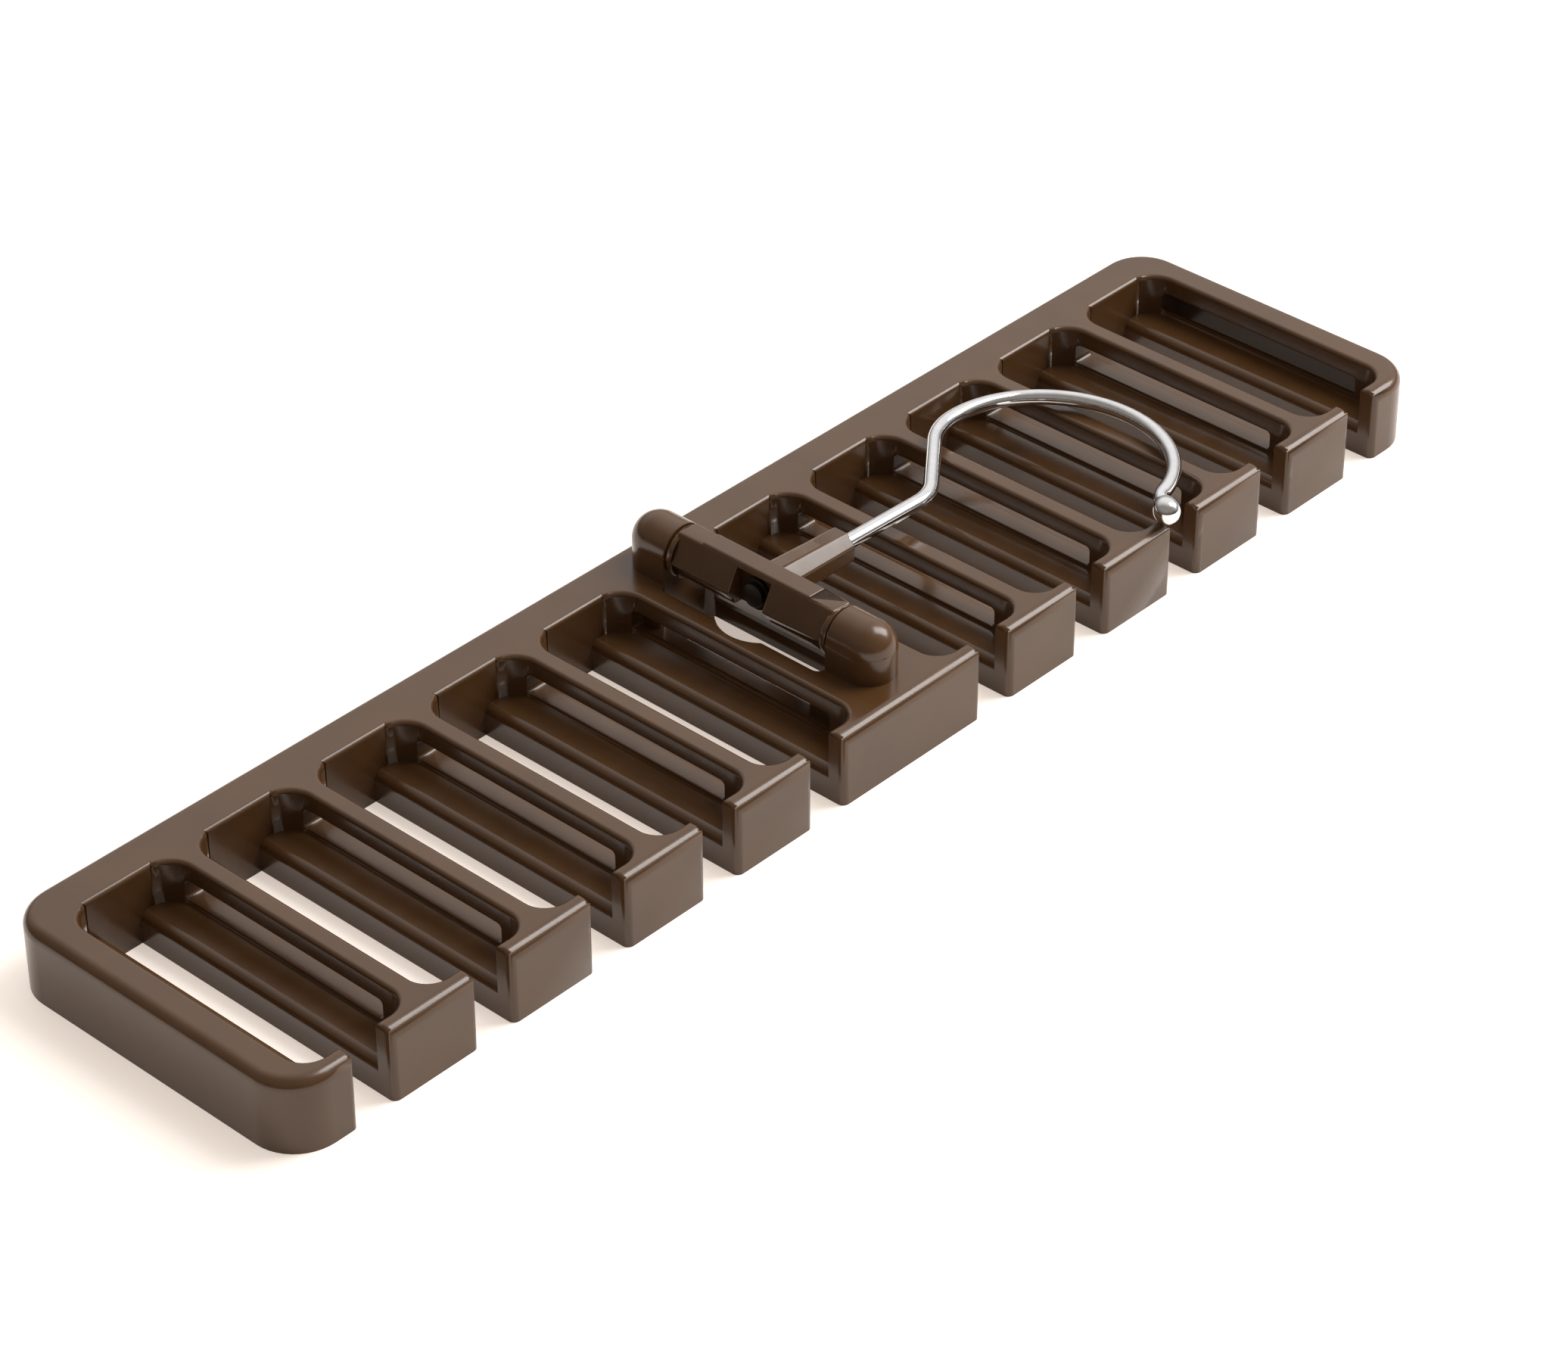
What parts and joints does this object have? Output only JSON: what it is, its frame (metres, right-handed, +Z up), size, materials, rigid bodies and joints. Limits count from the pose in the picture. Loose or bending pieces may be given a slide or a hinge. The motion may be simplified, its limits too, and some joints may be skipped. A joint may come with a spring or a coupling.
{
  "type": "tie hanger",
  "caption": "Flat comb-shaped tie hanger, long hollow plastic comb with open tie slots and a low hinged yoke at its middle carrying a folding wire hook.",
  "frame": {"origin": "centre of the comb's footprint, on the surface that the comb lies on", "axes": "+X along the comb's length, towards the folded hook; +Y from the tooth heads to the spine; +Z up, out of the face that carries the hook"},
  "size_m": [0.3296, 0.0801, 0.0286],
  "materials": {
    "brown_plastic": "glossy",
    "chromed_wire": "mirror chrome",
    "pin_steel": "bright drawn"
  },
  "bodies": {
    "comb": {"comb_body": "brown_plastic", "bearing_cap_rear": "brown_plastic", "bearing_cap_front": "brown_plastic"},
    "yoke_body": {"yoke": "brown_plastic", "hinge_pin_rear": "pin_steel", "hinge_pin_front": "pin_steel"},
    "hook": {"hook_wire": "chromed_wire", "retaining_washer": "pin_steel", "hook_ball": "chromed_wire"}
  },
  "joints": [
    {"name": "fold", "type": "hinge", "parent": "comb", "child": "yoke_body", "pos_m": [0, 0.0009, 0.0225], "axis": [0, -1, 0], "range_deg": [0, 184]},
    {"name": "swivel", "type": "hinge", "parent": "yoke_body", "child": "hook", "pos_m": [0, 0.0009, 0.0225], "axis": [0.9994, 0, -0.035], "range_deg": [0, 180]}
  ],
  "couplings": [
    {"joint": "swivel", "follows": "fold", "ratio": 0.978}
  ]
}
